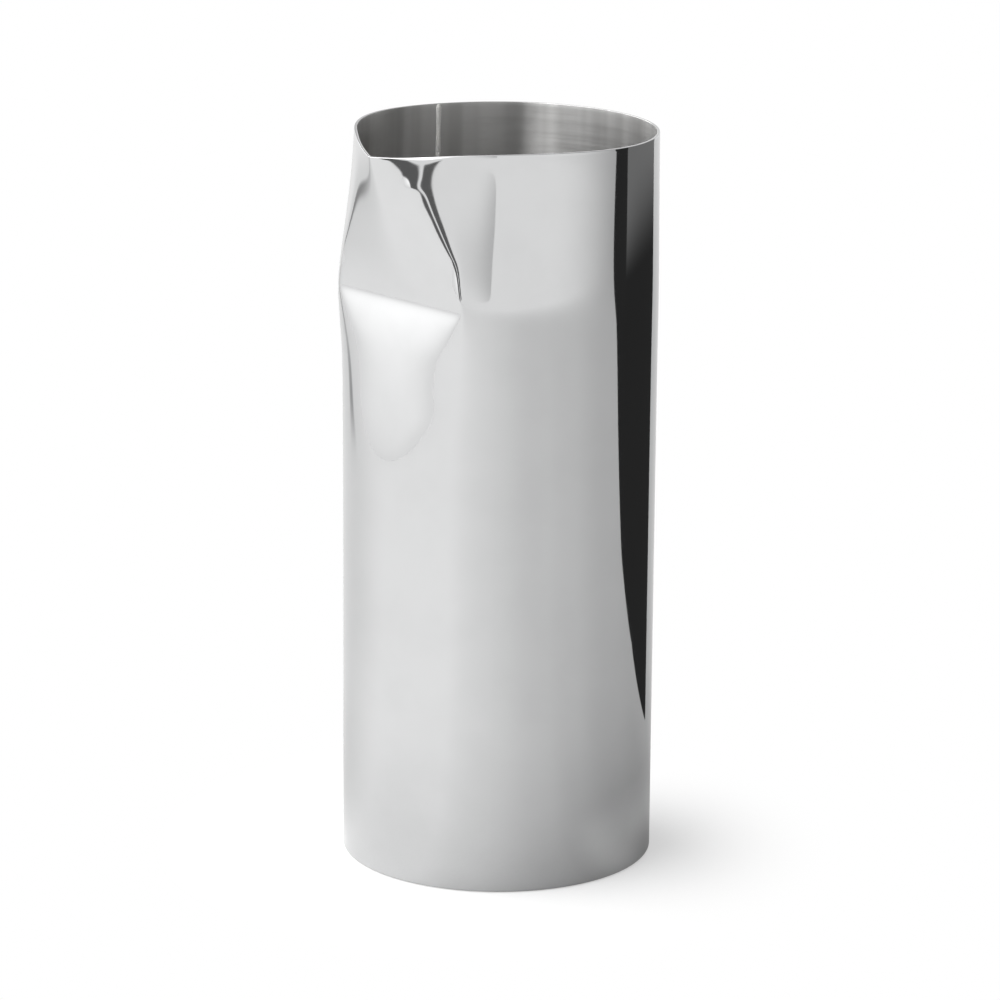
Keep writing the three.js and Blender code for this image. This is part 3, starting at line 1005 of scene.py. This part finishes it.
def add_flag(studio, name, start, end, low, high):
    """An upright dark flag with soft edges, between two points over the floor and two heights."""
    turn = studio_turn(studio)
    first = turn @ Vector((*start, low))
    last = turn @ Vector((*end, high))
    tall = Vector((0.0, 0.0, (high - low) / 2.0))
    wide = (last - first) / 2.0 - tall
    half_sizes = (wide.length, 1.0, tall.length)
    add_soft_card(name, (first + last) / 2.0, wide, tall, half_sizes, FLAG_GREY, FLAG_SOFT_START)


def add_mat(studio):
    """A long soft strip on the floor behind the carafe, which runs straight out from the axis."""
    turn = studio_turn(studio) @ Matrix.Rotation(MAT_TURN, 3, "Z")
    centre = turn @ Vector((0.0, MAT_DISTANCE, MAT_LEVEL))
    wide = turn @ Vector((MAT_HALF_WIDTH, 0.0, 0.0))
    deep = turn @ Vector((0.0, MAT_HALF_LENGTH, 0.0))
    half_sizes = (MAT_HALF_WIDTH, MAT_HALF_LENGTH, 1.0)
    add_soft_card("floor_mat", centre, wide, deep, half_sizes, MAT_GREY, MAT_SOFT_START)


def around(distance, degrees):
    """Right and away places at a distance from the axis, turned from the camera to its right."""
    turn = math.radians(degrees)
    return distance * math.sin(turn), -distance * math.cos(turn)


def add_cards(studio):
    """The studio that the polish shows: white to the left, dark behind to the right.

    Two narrow dark flags and a grey screen stand by the camera, and a soft strip lies on the floor.
    """
    looks = 2 * [(SLANT, LIT_TOP_GREYS)] + 2 * [(UPRIGHT, EVEN_DARK_GREYS)]
    for name, first, last, look in zip(DARK_NAMES, DARK_PLACES, DARK_PLACES[1:], looks):
        add_card(studio, name, first, last, 0.0, DARK_TOP, *look)
    add_card(studio, "white_card", *WHITE_PLACES, 0.0, WHITE_TOP, UPRIGHT, WHITE_GREYS)
    for name, turns, heights in FLAGS:
        add_flag(studio, name, *[around(FLAG_DISTANCE, turn) for turn in turns], *heights)
    ends = [around(SCREEN_DISTANCE, turn) for turn in SCREEN_TURNS]
    look = (SCREEN_LEAN, SCREEN_GREYS, SCREEN_ROUNDING)
    add_card(studio, "grey_screen", *ends, *SCREEN_HEIGHTS, *look)
    add_mat(studio)


def add_lamp(studio, name, power, width, place, target):
    """A soft square lamp that shines from a place towards a target."""
    data = bpy.data.lights.new(name, "AREA")
    data.shape = "SQUARE"
    data.size = width
    data.energy = power
    lamp = add_object(name, data)
    turn = studio_turn(studio)
    start = turn @ Vector(place)
    aim = turn @ Vector(target) - start
    facing = aim.to_track_quat("-Z", "Y").to_matrix().to_4x4()
    lamp.matrix_world = Matrix.Translation(start) @ facing
    lamp.visible_camera = False


def studio_world(studio):
    """White for the camera. Elsewhere a soft room: bright to the left, dim overhead.

    A soft box on the left and a pale backdrop behind to the right are added to the room's tone.
    """
    world = bpy.data.worlds.new("studio_world")
    bpy.context.scene.world = world
    world.use_nodes = True
    shader = Shader(world.node_tree)
    direction = shader.node("TexCoord").outputs["Generated"]
    left, away = left_and_away(shader, studio, direction)
    back_right = shader.along(direction, studio_turn(studio) @ Vector(BACK_RIGHT))
    rise = shader.node("SeparateXYZ", {"Vector": direction}).outputs["Z"]
    tone = far_side_tone(shader, left, away)
    room = shader.product(tone, shader.ramp(rise, *ROOM_RISE))
    on_left = shader.ramp(left, *SOFT_BOX_LEFT)
    soft_box = shader.product(on_left, shader.ramp(rise, *SOFT_BOX_RISE))
    behind = shader.ramp(back_right, *BACKDROP_SIDE)
    backdrop = shader.product(behind, shader.ramp(rise, *BACKDROP_RISE))
    glow = shader.math("ADD", room, shader.math("ADD", soft_box, backdrop))
    seen = shader.node("LightPath").outputs["Is Camera Ray"]
    strength = shader.blend(seen, glow, 1.0)
    background = shader.node("Background", {"Color": (1.0, 1.0, 1.0, 1.0), "Strength": strength})
    shader.node("OutputWorld", {"Surface": background.outputs[0]})


def add_floor(studio):
    """The square floor, with its corners in the order that makes it face up."""
    signs = ((-1.0, -1.0), (1.0, -1.0), (1.0, 1.0), (-1.0, 1.0))
    corners = [(FLOOR_REACH * across, FLOOR_REACH * deep, FLOOR_LEVEL) for across, deep in signs]
    floor = flat_mesh("studio_floor", corners)
    floor.data.materials.append(floor_material(studio))


class CARAFE_OT_studio(bpy.types.Operator):
    """Set up the floor, the cards, the lamps, the world and the camera"""

    bl_idname = "carafe.studio"
    bl_label = "Studio"

    def execute(self, context):
        studio = context.scene.carafe.studio
        context.scene.view_settings.view_transform = "Standard"
        place_camera(studio)
        add_floor(studio)
        add_cards(studio)
        add_lamp(studio, "key_lamp", studio.key_power, *KEY_LAMP)
        add_lamp(studio, "fill_lamp", studio.fill_power, *FILL_LAMP)
        studio_world(studio)
        return {"FINISHED"}


class CARAFE_PT_panel(bpy.types.Panel):
    """Lists the carafe's pieces and sizes"""

    bl_idname = "CARAFE_PT_panel"
    bl_label = "Carafe"
    bl_space_type = "VIEW_3D"
    bl_region_type = "UI"
    bl_category = "Carafe"

    def draw(self, context):
        layout = self.layout
        carafe = context.scene.carafe
        for group in ("body", "spout", "welds", "finish", "studio"):
            box = layout.box()
            box.label(text=group.capitalize())
            settings = getattr(carafe, group)
            for key in settings.__annotations__:
                box.prop(settings, key)
        for operator in OPERATORS:
            layout.operator(operator.bl_idname)


GROUPS = (CarafeBody, CarafeSpout, CarafeWelds, CarafeFinish, CarafeStudio, Carafe)
OPERATORS = (CARAFE_OT_wall, CARAFE_OT_seam, CARAFE_OT_base, CARAFE_OT_studio)
CLASSES = (*GROUPS, *OPERATORS, CARAFE_PT_panel)


def register():
    """Registers the classes and gives the scene its carafe settings."""
    for kind in CLASSES:
        bpy.utils.register_class(kind)
    bpy.types.Scene.carafe = bpy.props.PointerProperty(type=Carafe)


def unregister():
    """Takes the settings and the classes away again."""
    del bpy.types.Scene.carafe
    for kind in reversed(CLASSES):
        bpy.utils.unregister_class(kind)


def main():
    register()
    bpy.ops.carafe.wall()
    bpy.ops.carafe.seam()
    bpy.ops.carafe.base()
    bpy.ops.carafe.studio()


if __name__ == "__main__":
    main()
